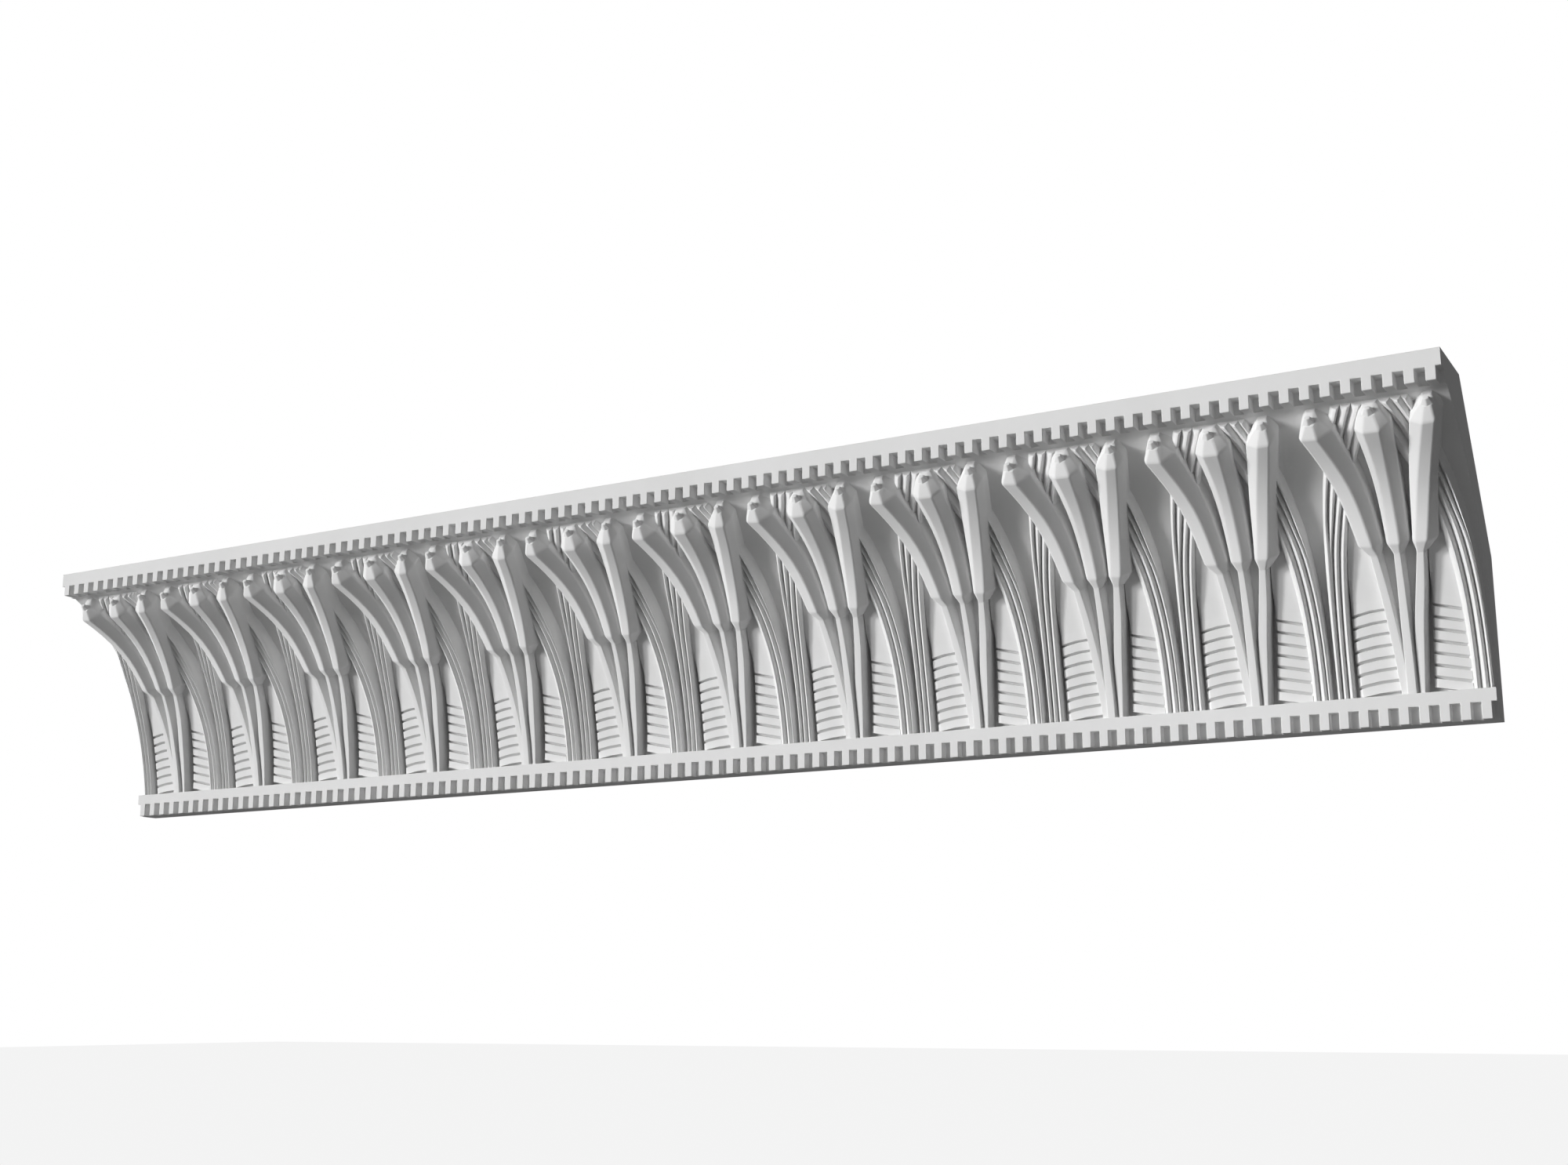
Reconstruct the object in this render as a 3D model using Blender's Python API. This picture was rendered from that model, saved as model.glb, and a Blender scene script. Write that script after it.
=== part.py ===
"""A cast plaster cornice: a cove between two dentil bands, carved with bulrushes under leaf arches.

The cornice runs along X and is cut square at both ends. Its front faces -Y and its back lies against
the wall at Y = 0. The origin is the middle of the face that meets the wall. Units are metres.
"""
import math

import bmesh
import bpy
from mathutils import Vector

# Run of the moulding
DENTIL_PITCH = 0.012
DENTIL_GAP = 0.006
DENTILS_PER_MOTIF = 8
MOTIF_COUNT = 12

# Section of the moulding
HEIGHT = 0.2007
PROJECTION = 0.120
WALL_CONTACT = 0.102
CEILING_CONTACT = 0.0562
COVE_RADIUS = 0.190
COVE_WALL = 0.0103
SOFFIT_DEPTH = 0.0146

# Dentil bands: height and the slots that part the dentils
TOP_BAND_HEIGHT = 0.0189
TOP_SLOT_HEIGHT = 0.0082
TOP_SLOT_DEPTH = 0.0098
FOOT_BAND_HEIGHT = 0.0186
FOOT_BAND_THICKNESS = 0.0212
FOOT_SLOT_HEIGHT = 0.0104
FOOT_SLOT_DEPTH = 0.0060

# Heights of the carving, square to the cove
HEAD_RISE = 0.0170
STEM_RISE = 0.0140
LEAF_RISE = 0.0118
FAN_RISE = 0.0055
LEAF_GROOVE = 0.0028
PANEL_RISE = 0.0074
SLAT_RISE = 0.0018
CARVING_ROOT = 0.0030

# The carving is drawn on a grid: 8 columns to a motif, 16.5 rows up the cove to the soffit.
# A row below zero lies inside the lower band, so that the carving grows out of it.
COLUMNS = 8.0
ROWS = 16.5
COVE_ROWS = (0.0, 5.0, 9.5, 13.0, 16.5)
FADE_ROWS = 6.0
FOOT_FADE = 0.4
LEAF_ROWS = (-0.5, 5.0, 9.5, 13.0, 17.0)
LEAF_RIBS = (0.0, 0.30, 0.64, 1.0)
LEAF_CREST = 0.55
LEAF_FALL = 6.0
SLAT_COUNT = 5
SLAT_PITCH = 1.0
SLAT_GROOVE = 0.14
FIELD_TOP = 9.3

# Bulrush: rows of the stem, the head and its tip
STEM_ROWS = (-0.5, 5.0, 7.8)
HEAD_ROWS = (8.5, 13.0, 15.6)
TIP_ROW = 16.45
STEM_WIDTH = 0.40
HEAD_FOOT_WIDTH = 1.14
HEAD_TIP_WIDTH = 1.66
TIP_WIDTH = 0.80
TIP_SHARE = 0.78
HEAD_SWELL = 1.6
FACET_SHARE = 0.42

MOTIF_WIDTH = DENTIL_PITCH * DENTILS_PER_MOTIF
LENGTH = MOTIF_WIDTH * MOTIF_COUNT
BOTTOM = -WALL_CONTACT / 2
TOP = BOTTOM + HEIGHT
FOOT_BAND_TOP = BOTTOM + FOOT_BAND_HEIGHT
SOFFIT = TOP - TOP_BAND_HEIGHT
FRONT = -PROJECTION
MERGE = 0.00001
PLACE_DIGITS = 5
SMALLEST_EDGE = 0.0010
FLAT_ENOUGH = math.radians(12.0)


def arc_centre():
    """Centre of the circle through the cove's foot and its top, on the room side."""
    foot = Vector((-COVE_WALL, FOOT_BAND_TOP))
    head = Vector((FRONT + SOFFIT_DEPTH, SOFFIT))
    chord = head - foot
    middle = (foot + head) / 2
    reach = math.sqrt(COVE_RADIUS ** 2 - (chord.length / 2) ** 2)
    return middle + Vector((-chord.y, chord.x)).normalized() * reach


CENTRE = arc_centre()
FOOT_ANGLE = math.asin((FOOT_BAND_TOP - CENTRE.y) / COVE_RADIUS)
HEAD_ANGLE = math.asin((SOFFIT - CENTRE.y) / COVE_RADIUS)


def on_cove(column, row, rise):
    """A point of the first motif: a grid column, a grid row and a height over the cove."""
    angle = FOOT_ANGLE + (HEAD_ANGLE - FOOT_ANGLE) * row / ROWS
    radius = COVE_RADIUS - rise
    x = MOTIF_WIDTH * column / COLUMNS
    return Vector((x, CENTRE.x + radius * math.cos(angle), CENTRE.y + radius * math.sin(angle)))


def faded(rise, row):
    """Carving sinks towards the cove near the lower band."""
    short = max(0.0, 1.0 - row / FADE_ROWS)
    return rise * (1.0 - FOOT_FADE * short ** 2)


def mesh_object(name, bm, collection):
    """Turn a bmesh into an object in a collection."""
    bmesh.ops.recalc_face_normals(bm, faces=bm.faces)
    mesh = bpy.data.meshes.new(name)
    bm.to_mesh(mesh)
    bm.free()
    obj = bpy.data.objects.new(name, mesh)
    collection.objects.link(obj)
    return obj


def loft(name, rings, collection):
    """Close a solid through rings of grid points that all have as many points."""
    bm = bmesh.new()
    loops = [[bm.verts.new(on_cove(*point)) for point in ring] for ring in rings]
    bm.faces.new(loops[0])
    bm.faces.new(loops[-1])
    for lower, upper in zip(loops, loops[1:]):
        for i in range(len(lower)):
            j = (i + 1) % len(lower)
            bm.faces.new((lower[i], lower[j], upper[j], upper[i]))
    bmesh.ops.remove_doubles(bm, verts=bm.verts, dist=MERGE)
    bmesh.ops.triangulate(bm, faces=bm.faces)
    return mesh_object(name, bm, collection)


def section_outline():
    """Outline of the moulding in (y, z), from the wall's foot round the front to the back."""
    cove = [tuple(on_cove(0.0, row, 0.0).yz) for row in COVE_ROWS]
    foot = [(0.0, BOTTOM), (-FOOT_BAND_THICKNESS, BOTTOM), (-FOOT_BAND_THICKNESS, FOOT_BAND_TOP)]
    head = [(FRONT, SOFFIT), (FRONT, TOP), (FRONT + CEILING_CONTACT, TOP)]
    return foot + cove + head + [(0.0, BOTTOM + WALL_CONTACT)]


def moulding(collection):
    """One motif's length of the plain section."""
    bm = bmesh.new()
    start = bm.faces.new([bm.verts.new((0.0, y, z)) for y, z in section_outline()])
    swept = bmesh.ops.extrude_face_region(bm, geom=[start])
    moved = [item for item in swept["geom"] if isinstance(item, bmesh.types.BMVert)]
    bmesh.ops.translate(bm, vec=(MOTIF_WIDTH, 0.0, 0.0), verts=moved)
    return mesh_object("cornice", bm, collection)


def slot_cutter(name, front, depth, low, height, collection):
    """A row of boxes that part the dentils; the first and last are halved by the motif's ends."""
    bm = bmesh.new()
    over = DENTIL_GAP / 2
    for index in range(DENTILS_PER_MOTIF + 1):
        box = bmesh.ops.create_cube(bm, size=1.0)["verts"]
        bmesh.ops.scale(bm, vec=(DENTIL_GAP, depth + over, height + over), verts=box)
        centre = (index * DENTIL_PITCH, front + (depth - over) / 2, low + (height - over) / 2)
        bmesh.ops.translate(bm, vec=centre, verts=box)
    return mesh_object(name, bm, collection)


def bulrush(name, stem, head, facet, shoulders, collection):
    """Stem, neck and six-sided head with its tip.

    stem: foot column, neck column, bend. head: foot column, lean, bow.
    facet: how far the front facet leans to the left, as columns. shoulders: left and right share of the rise.
    """
    def ring(row, column, width, flat, rise, sides):
        half = width / 2
        left, right = sides
        lean = facet * flat
        return [
            (column - half, row, -CARVING_ROOT),
            (column - half, row, rise * left),
            (column - lean - flat / 2, row, rise),
            (column - lean + flat / 2, row, rise),
            (column + half, row, rise * right),
            (column + half, row, -CARVING_ROOT),
        ]

    rings = []
    foot, neck, bend = stem
    for row in STEM_ROWS:
        column = foot + (neck - foot) * (max(row, 0.0) / STEM_ROWS[-1]) ** bend
        half = STEM_WIDTH / 2
        rise = faded(STEM_RISE, row)
        square = [(column - half, row, -CARVING_ROOT)] + [(column - half, row, rise)] * 2
        rings.append(square + [(column + half, row, rise)] * 2 + [(column + half, row, -CARVING_ROOT)])
    base, lean, bow = head
    for row in HEAD_ROWS:
        share = (row - HEAD_ROWS[0]) / (HEAD_ROWS[-1] - HEAD_ROWS[0])
        column = base + lean * share + bow * share ** 2
        width = HEAD_FOOT_WIDTH + (HEAD_TIP_WIDTH - HEAD_FOOT_WIDTH) * share ** HEAD_SWELL
        rings.append(ring(row, column, width, width * FACET_SHARE, HEAD_RISE, shoulders))
    tip = base + lean + bow
    rings.append(ring(TIP_ROW, tip, TIP_WIDTH, TIP_WIDTH * FACET_SHARE, HEAD_RISE * TIP_SHARE, shoulders))
    return loft(name, rings, collection)


def leaf(name, near, far, collection):
    """A bundle of ribs that climbs from the band, behind the heads, to the soffit.

    near and far are the bundle's two edges: column at the foot, sweep at the top row, power of the sweep.
    """
    def edge(values, row):
        column, sweep, power = values
        return column + sweep * (max(row, 0.0) / LEAF_ROWS[-1]) ** power

    rings = []
    for row in LEAF_ROWS:
        left, right = edge(near, row), edge(far, row)
        fall = (max(row, 0.0) / LEAF_ROWS[-1]) ** LEAF_FALL
        rise = faded(LEAF_RISE + (FAN_RISE - LEAF_RISE) * fall, row)
        points = [(left, row, -CARVING_ROOT), (left, row, rise - LEAF_GROOVE)]
        for start, end in zip(LEAF_RIBS, LEAF_RIBS[1:]):
            crest = start + (end - start) * LEAF_CREST
            points.append((left + (right - left) * crest, row, rise))
            points.append((left + (right - left) * end, row, rise - LEAF_GROOVE))
        points.append((right, row, -CARVING_ROOT))
        rings.append(points)
    return loft(name, rings, collection)


def field(name, foot, top, first_row, tilt, collection):
    """The raised ground between a leaf and the stems: slats below, a smooth panel above.

    foot and top are the left and right columns there. tilt: rows that the slats climb from left to right.
    """
    def ring(row, rise, slope):
        share = max(0.0, row / FIELD_TOP)
        left = foot[0] + (top[0] - foot[0]) * share
        right = foot[1] + (top[1] - foot[1]) * share
        low, high = row - slope / 2, row + slope / 2
        root = -CARVING_ROOT
        return [(left, low, root), (left, low, rise), (right, high, rise), (right, high, root)]

    rings = []
    for index in range(SLAT_COUNT):
        row = first_row + index * SLAT_PITCH
        ground = faded(PANEL_RISE, row)
        rings.append(ring(row, ground, tilt))
        rings.append(ring(row + SLAT_GROOVE, ground + SLAT_RISE, tilt))
    end = first_row + SLAT_COUNT * SLAT_PITCH
    rings.append(ring(end, PANEL_RISE, tilt))
    rings.append(ring(FIELD_TOP, PANEL_RISE, 0.0))
    return loft(name, rings, collection)


def carving(collection):
    """Every solid of one motif's carving; they overlap and are joined to the moulding."""
    leaf("leaf_left", (0.14, 2.47, 2.75), (1.10, 3.76, 2.68), collection)
    leaf("leaf_right", (6.80, -3.45, 3.0), (7.86, -1.93, 3.1), collection)
    field("field_left", (0.85, 3.75), (1.75, 2.95), -0.50, 0.30, collection)
    field("field_right", (4.40, 7.05), (5.30, 6.60), -0.20, -0.40, collection)
    bulrush("rush_left", (3.62, 2.97, 1.3), (2.86, -0.65, -0.48), 0.16, (0.90, 0.65), collection)
    bulrush("rush_middle", (3.98, 4.10, 2.0), (4.23, 0.08, 0.05), 0.05, (0.83, 0.66), collection)
    bulrush("rush_right", (4.48, 5.18, 2.0), (5.56, 0.85, 0.45), -0.10, (0.76, 0.60), collection)


def add_boolean(obj, operation, target):
    """Add a live Boolean with a single object or with a whole collection."""
    boolean = obj.modifiers.new(operation.title(), "BOOLEAN")
    boolean.operation = operation
    boolean.solver = "EXACT"
    if isinstance(target, bpy.types.Collection):
        boolean.operand_type = "COLLECTION"
        boolean.collection = target
    else:
        boolean.object = target


def at_plane(item, x):
    """Whether a face or an edge lies in the plane across the run at x."""
    return all(abs(vert.co.x - x) < MERGE for vert in item.verts)


def in_fixed_order(mesh):
    """Points rounded and sorted by place, because a Boolean numbers them in another order each time."""
    places = [tuple(round(value, PLACE_DIGITS) for value in vertex.co) for vertex in mesh.vertices]
    order = sorted(range(len(places)), key=lambda index: places[index])
    number = {old: new for new, old in enumerate(order)}
    faces = []
    for polygon in mesh.polygons:
        corners = [number[index] for index in polygon.vertices]
        first = corners.index(min(corners))
        faces.append(corners[first:] + corners[:first])
    sorted_mesh = bpy.data.meshes.new("motif")
    sorted_mesh.from_pydata([places[index] for index in order], [], sorted(faces))
    return sorted_mesh


def thin_out(bm):
    """Take away slivers left by the joins, and edges between faces that are nearly flat to each other."""
    bmesh.ops.dissolve_degenerate(bm, dist=SMALLEST_EDGE, edges=bm.edges)
    bmesh.ops.dissolve_limit(bm, angle_limit=FLAT_ENOUGH, verts=bm.verts, edges=bm.edges)


def repeat_motif(obj):
    """Weld copies of the finished motif into one run and close its two square ends."""
    bpy.context.view_layer.update()
    evaluated = obj.evaluated_get(bpy.context.evaluated_depsgraph_get())
    motif = in_fixed_order(evaluated.to_mesh())
    run = bmesh.new()
    for index in range(MOTIF_COUNT):
        before = len(run.verts)
        run.from_mesh(motif)
        run.verts.ensure_lookup_table()
        bmesh.ops.translate(run, vec=(index * MOTIF_WIDTH, 0.0, 0.0), verts=run.verts[before:])
    joints = [index * MOTIF_WIDTH for index in range(MOTIF_COUNT + 1)]
    ends = [face for face in run.faces if any(at_plane(face, x) for x in joints)]
    bmesh.ops.delete(run, geom=ends, context="FACES")
    bmesh.ops.remove_doubles(run, verts=run.verts, dist=MERGE)
    for x in (0.0, LENGTH):
        rim = [edge for edge in run.edges if edge.is_boundary and at_plane(edge, x)]
        bmesh.ops.contextual_create(run, geom=rim)
    bmesh.ops.translate(run, vec=(-LENGTH / 2, 0.0, 0.0), verts=run.verts)
    thin_out(run)
    bmesh.ops.recalc_face_normals(run, faces=run.faces)
    obj.modifiers.clear()
    run.to_mesh(obj.data)
    run.free()
    bpy.data.meshes.remove(motif)


def plaster():
    """Off-white matt plaster."""
    material = bpy.data.materials.new("plaster")
    material.use_nodes = True
    shader = material.node_tree.nodes["Principled BSDF"]
    shader.inputs["Base Color"].default_value = (0.82, 0.82, 0.81, 1.0)
    shader.inputs["Roughness"].default_value = 0.75
    shader.inputs["Metallic"].default_value = 0.0
    return material


def new_collection(name, hidden):
    """A collection in the scene; a hidden one holds cutters."""
    collection = bpy.data.collections.new(name)
    collection.hide_render = hidden
    bpy.context.scene.collection.children.link(collection)
    return collection


def build():
    """Make the cornice."""
    for obj in list(bpy.data.objects):
        bpy.data.objects.remove(obj)
    part = new_collection("cornice", False)
    cutters = new_collection("cutters", True)
    carved = new_collection("carving", True)

    cornice = moulding(part)
    top_slots = slot_cutter("top_slots", FRONT, TOP_SLOT_DEPTH, SOFFIT, TOP_SLOT_HEIGHT, cutters)
    foot_slots = slot_cutter(
        "foot_slots", -FOOT_BAND_THICKNESS, FOOT_SLOT_DEPTH, BOTTOM, FOOT_SLOT_HEIGHT, cutters
    )
    carving(carved)
    for helper in list(cutters.objects) + list(carved.objects):
        helper.hide_render = True
        helper.display_type = "WIRE"
    add_boolean(cornice, "DIFFERENCE", top_slots)
    add_boolean(cornice, "DIFFERENCE", foot_slots)
    add_boolean(cornice, "UNION", carved)
    repeat_motif(cornice)
    cornice.data.materials.append(plaster())
    print("cornice:", len(cornice.data.vertices), "points,", len(cornice.data.polygons), "faces")


build()
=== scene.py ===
# %% [markdown]
# # A cast plaster cornice
#
# A cornice hides the corner between a wall and a ceiling. This one is a cove, a hollow quarter round,
# between two rows of small blocks called dentils. The cove carries one motif twelve times over: three
# bulrushes with six-sided heads, two bundles of ribbed leaves that cross behind them, and slatted ground.
# A moulder carves the motif once, takes a rubber mould from it and casts the whole run in plaster. The
# script works the same way: it models one motif, repeats it, and welds the copies into one piece.

import math

import bpy
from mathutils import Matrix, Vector


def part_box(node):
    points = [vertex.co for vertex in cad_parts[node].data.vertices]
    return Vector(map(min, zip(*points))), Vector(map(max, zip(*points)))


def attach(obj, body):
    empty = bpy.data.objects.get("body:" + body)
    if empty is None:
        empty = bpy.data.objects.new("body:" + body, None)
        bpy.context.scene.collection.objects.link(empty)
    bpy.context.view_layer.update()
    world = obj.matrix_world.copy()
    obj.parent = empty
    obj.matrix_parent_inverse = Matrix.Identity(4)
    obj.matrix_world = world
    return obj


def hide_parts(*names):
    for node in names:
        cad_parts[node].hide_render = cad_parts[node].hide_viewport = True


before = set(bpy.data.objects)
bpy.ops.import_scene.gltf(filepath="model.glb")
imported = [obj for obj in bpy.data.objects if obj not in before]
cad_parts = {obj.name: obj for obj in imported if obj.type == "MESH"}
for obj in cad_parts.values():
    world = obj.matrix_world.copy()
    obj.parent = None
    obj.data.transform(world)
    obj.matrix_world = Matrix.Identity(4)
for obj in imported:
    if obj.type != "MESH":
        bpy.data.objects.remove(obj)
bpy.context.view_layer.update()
bpy.ops.object.select_all(action="DESELECT")

# %% [markdown]
# The cornice is measured in dentil pitches, the distance from one dentil to the next. It is the module
# that a designer of such a moulding starts from, and everything else is counted in it. Here it comes
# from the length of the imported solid, so the finished piece can't drift from it.

# %% The module
MOTIFS = 12
DENTILS_PER_MOTIF = 8
low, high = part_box("cornice")
PITCH = (high.x - low.x) / (MOTIFS * DENTILS_PER_MOTIF)
MOTIF = PITCH * DENTILS_PER_MOTIF
print("pitch", round(PITCH * 1000, 3), "mm, motif", round(MOTIF * 1000, 2), "mm")

# %% [markdown]
# The section is drawn first. The two bands are square in profile, and the cove between them is one arc.
# Its centre lies in the room, and follows from the arc's two ends and its radius.

# %% The section's sizes
COVE_RADIUS = 0.190
FOOT_BAND_HEIGHT = 0.0186
FOOT_BAND_FRONT = -0.0212
TOP_BAND_HEIGHT = 0.0189
WALL_CONTACT = 0.102
CEILING_CONTACT = 0.0562
cove_foot = Vector((-0.0103, low.z + FOOT_BAND_HEIGHT))
cove_head = Vector((low.y + 0.0146, high.z - TOP_BAND_HEIGHT))
chord = cove_head - cove_foot
reach = math.sqrt(COVE_RADIUS ** 2 - (chord.length / 2) ** 2)
centre = (cove_foot + cove_head) / 2 + Vector((-chord.y, chord.x)).normalized() * reach
foot_angle = math.asin((cove_foot.y - centre.y) / COVE_RADIUS)
head_angle = math.asin((cove_head.y - centre.y) / COVE_RADIUS)
print("cove from", round(math.degrees(foot_angle), 2), "to", round(math.degrees(head_angle), 2), "degrees")

# %% [markdown]
# The outline is drawn the way one draws it by hand in edit mode: a single point is extruded from corner
# to corner, and the spin tool turns it round the arc's centre for the cove. Filled and extruded along
# the run, it gives the plain moulding. It is made one dentil longer than the motif at both ends, and the
# spare is cut off later, so that the edges there are finished like all the others.

# %% Draw the outline and extrude it
ARC_STEPS = 44
SPARE = PITCH
WELD = 0.00001

def start_point(x, y, z):
    """Add a plane, collapse it to one point in edit mode and leave that point selected."""
    bpy.ops.mesh.primitive_plane_add(size=PITCH, location=(x, y, z))
    bpy.ops.object.mode_set(mode="EDIT")
    bpy.ops.mesh.select_all(action="SELECT")
    bpy.ops.mesh.merge(type="CENTER")

def line_to(start, end):
    """Extrude the selected point from one (y, z) corner to the next."""
    step = (0.0, end[0] - start[0], end[1] - start[1])
    bpy.ops.mesh.extrude_vertices_move(TRANSFORM_OT_translate={"value": step})

before_cove = [(0.0, low.z), (FOOT_BAND_FRONT, low.z), (FOOT_BAND_FRONT, cove_foot.y), tuple(cove_foot)]
after_cove = [tuple(cove_head), (low.y, cove_head.y), (low.y, high.z), (low.y + CEILING_CONTACT, high.z)]
after_cove.append((0.0, low.z + WALL_CONTACT))
start_point(low.x - SPARE, *before_cove[0])
for start, end in zip(before_cove, before_cove[1:]):
    line_to(start, end)
bpy.ops.mesh.spin(
    steps=ARC_STEPS, angle=foot_angle - head_angle,
    center=(low.x - SPARE, centre.x, centre.y), axis=(1.0, 0.0, 0.0),
)
for start, end in zip(after_cove, after_cove[1:]):
    line_to(start, end)
bpy.ops.mesh.select_all(action="SELECT")
bpy.ops.mesh.remove_doubles(threshold=WELD)
bpy.ops.mesh.edge_face_add()
bpy.ops.mesh.extrude_region_move(TRANSFORM_OT_translate={"value": (MOTIF + 2 * SPARE, 0.0, 0.0)})
bpy.ops.mesh.select_all(action="SELECT")
bpy.ops.mesh.normals_make_consistent(inside=False)
bpy.ops.object.mode_set(mode="OBJECT")
cast = bpy.context.object
cast.name = "cornice_cast"
deepest = min(point.co.y for point in cast.data.vertices)
print("plain moulding:", len(cast.data.vertices), "points, deepest", round(deepest, 4))

# %% [markdown]
# Tidy habits keep the long list of steps short: one helper makes the mesh the place where an object is,
# and one applies a modifier.

# %% Helpers for finished pieces
def settle(piece):
    """Put the object's place, turn and scale into its mesh."""
    bpy.ops.object.select_all(action="DESELECT")
    piece.select_set(True)
    bpy.context.view_layer.objects.active = piece
    bpy.ops.object.transform_apply(location=True, rotation=True, scale=True)

def finish_modifier(piece, modifier):
    """Apply one modifier of one object."""
    bpy.context.view_layer.objects.active = piece
    bpy.ops.object.modifier_apply(modifier=modifier.name)

settle(cast)
print("outline box", [round(v, 4) for v in cast.dimensions])

# %% [markdown]
# The dentils are what is left between slots. A row of boxes, one to each pitch, is cut out of each band
# with a Boolean. The upper slots are deep and throw a strong shadow. The lower ones are shallow.

# %% Cut the slots
SLOT_WIDTH = 0.006
TOP_SLOT_HEIGHT = 0.0082
TOP_SLOT_DEPTH = 0.0098
FOOT_SLOT_HEIGHT = 0.0104
FOOT_SLOT_DEPTH = 0.0060

def slot_row(name, front, depth, bottom, height):
    """One box primitive, repeated along the run by an Array: it stands proud in front and below."""
    proud = SLOT_WIDTH / 2
    place = (low.x, front + (depth - proud) / 2, bottom + (height - proud) / 2)
    bpy.ops.mesh.primitive_cube_add(size=1.0, location=place)
    box = bpy.context.object
    box.name = name
    box.scale = (SLOT_WIDTH, depth + proud, height + proud)
    settle(box)
    row = box.modifiers.new("row", "ARRAY")
    row.count = DENTILS_PER_MOTIF + 1
    row.use_relative_offset = False
    row.use_constant_offset = True
    row.constant_offset_displace = (PITCH, 0.0, 0.0)
    finish_modifier(box, row)
    return box

def cut(piece, cutter):
    """Take one solid out of another and delete the cutter."""
    boolean = piece.modifiers.new("cut", "BOOLEAN")
    boolean.operation = "DIFFERENCE"
    boolean.solver = "EXACT"
    boolean.object = cutter
    finish_modifier(piece, boolean)
    bpy.data.objects.remove(cutter)

cut(cast, slot_row("top_slots", low.y, TOP_SLOT_DEPTH, cove_head.y, TOP_SLOT_HEIGHT))
cut(cast, slot_row("foot_slots", FOOT_BAND_FRONT, FOOT_SLOT_DEPTH, low.z, FOOT_SLOT_HEIGHT))
print("with slots:", len(cast.data.polygons), "faces")

# %% [markdown]
# A mould never gives a razor edge. A narrow Bevel takes every sharp edge off the bands, and then the
# bisect tool cuts the motif to its length, through the middle of a slot at both ends, and fills the cuts.

# %% Soften the edges and cut to length
ARRIS = 0.00032
SHARP = math.radians(35.0)
CUT_TOLERANCE = 0.000001

def soften(piece, width, segments, angle):
    """Round the edges of a piece that are sharper than an angle."""
    bevel = piece.modifiers.new("soften", "BEVEL")
    bevel.width = width
    bevel.segments = segments
    bevel.limit_method = "ANGLE"
    bevel.angle_limit = angle
    bevel.use_clamp_overlap = True
    finish_modifier(piece, bevel)

def trim(x, side):
    """Cut the mesh in edit mode at a plane across the run, and clear what lies beyond it."""
    bpy.ops.mesh.select_all(action="SELECT")
    bpy.ops.mesh.bisect(
        plane_co=(x, 0.0, 0.0), plane_no=(1.0, 0.0, 0.0), use_fill=True,
        clear_inner=side < 0, clear_outer=side > 0, threshold=CUT_TOLERANCE,
    )

soften(cast, ARRIS, 1, SHARP)
bpy.ops.object.mode_set(mode="EDIT")
trim(low.x, -1)
trim(low.x + MOTIF, 1)
bpy.ops.object.mode_set(mode="OBJECT")
print("trimmed:", len(cast.data.polygons), "faces, length", round(cast.dimensions.x, 5))

# %% [markdown]
# The carving is modelled flat, as a carver works at a bench, and bent onto the cove afterwards. On the
# bench, x runs along the cornice, z is the distance up the cove, and the relief stands out towards -y.
# Every carved part is made the same way. It starts as a grid primitive, and each row of the grid takes
# the part's section at that height. Then the whole face is extruded backwards and flattened to one
# level a little below the ground, which closes the solid and gives it straight sides.

# %% Carve a part on the bench
ROOT = 0.22
PLACE_DIGITS = 4

def grid_place(point):
    """Key that puts a grid's points in order, row after row and from left to right."""
    return round(point.co.y, PLACE_DIGITS), round(point.co.x, PLACE_DIGITS)

def carve(name, rows, section):
    """A closed solid. section(row) gives (column, row, rise) points from left to right, in pitches."""
    columns = len(section(rows[0]))
    bpy.ops.object.select_all(action="DESELECT")
    bpy.ops.mesh.primitive_grid_add(
        x_subdivisions=columns - 1, y_subdivisions=len(rows) - 1, size=1.0, location=(0.0, 0.0, 0.0)
    )
    piece = bpy.context.object
    piece.name = name
    for index, point in enumerate(sorted(piece.data.vertices, key=grid_place)):
        column, row, rise = section(rows[index // columns])[index % columns]
        point.co = (column * PITCH, -rise * PITCH, row * PITCH)
    bpy.ops.object.mode_set(mode="EDIT")
    bpy.ops.mesh.select_all(action="SELECT")
    bpy.ops.mesh.extrude_region_move(TRANSFORM_OT_translate={"value": (0.0, 0.0, 0.0)})
    bpy.ops.transform.resize(value=(1.0, 0.0, 1.0), center_override=(0.0, ROOT * PITCH, 0.0))
    bpy.ops.mesh.select_all(action="SELECT")
    bpy.ops.mesh.remove_doubles(threshold=WELD)
    bpy.ops.mesh.normals_make_consistent(inside=False)
    bpy.ops.object.mode_set(mode="OBJECT")
    return piece

print("carved parts reach", round(ROOT * PITCH * 1000, 2), "mm below the ground")

# %% [markdown]
# Most edges and heights of the carving are smooth curves, drawn through a few points that a carver would
# mark on the board. A cubic with even slopes passes through them all, and needs no curve object.

# %% Smooth curves through marked points
def through(stops, at):
    """A smooth curve through (place, value) stops, level before the first and beyond the last."""
    if at <= stops[0][0]:
        return stops[0][1]
    if at >= stops[-1][0]:
        return stops[-1][1]
    index = max(i for i, stop in enumerate(stops) if stop[0] <= at)
    before, after = stops[index], stops[index + 1]
    span = after[0] - before[0]
    share = (at - before[0]) / span

    def slope(i):
        first, last = stops[max(i - 1, 0)], stops[min(i + 1, len(stops) - 1)]
        return (last[1] - first[1]) / (last[0] - first[0]) * span

    start, end = slope(index), slope(index + 1)
    square, cube = share * share, share ** 3
    return (
        (2 * cube - 3 * square + 1) * before[1] + (cube - 2 * square + share) * start
        + (3 * square - 2 * cube) * after[1] + (cube - square) * end
    )

def steps(first, last, count):
    """Evenly spaced places from first to last."""
    return [first + (last - first) * index / count for index in range(count + 1)]

print("half way between 1 and 3:", through([(0.0, 1.0), (1.0, 3.0)], 0.5))

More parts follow.
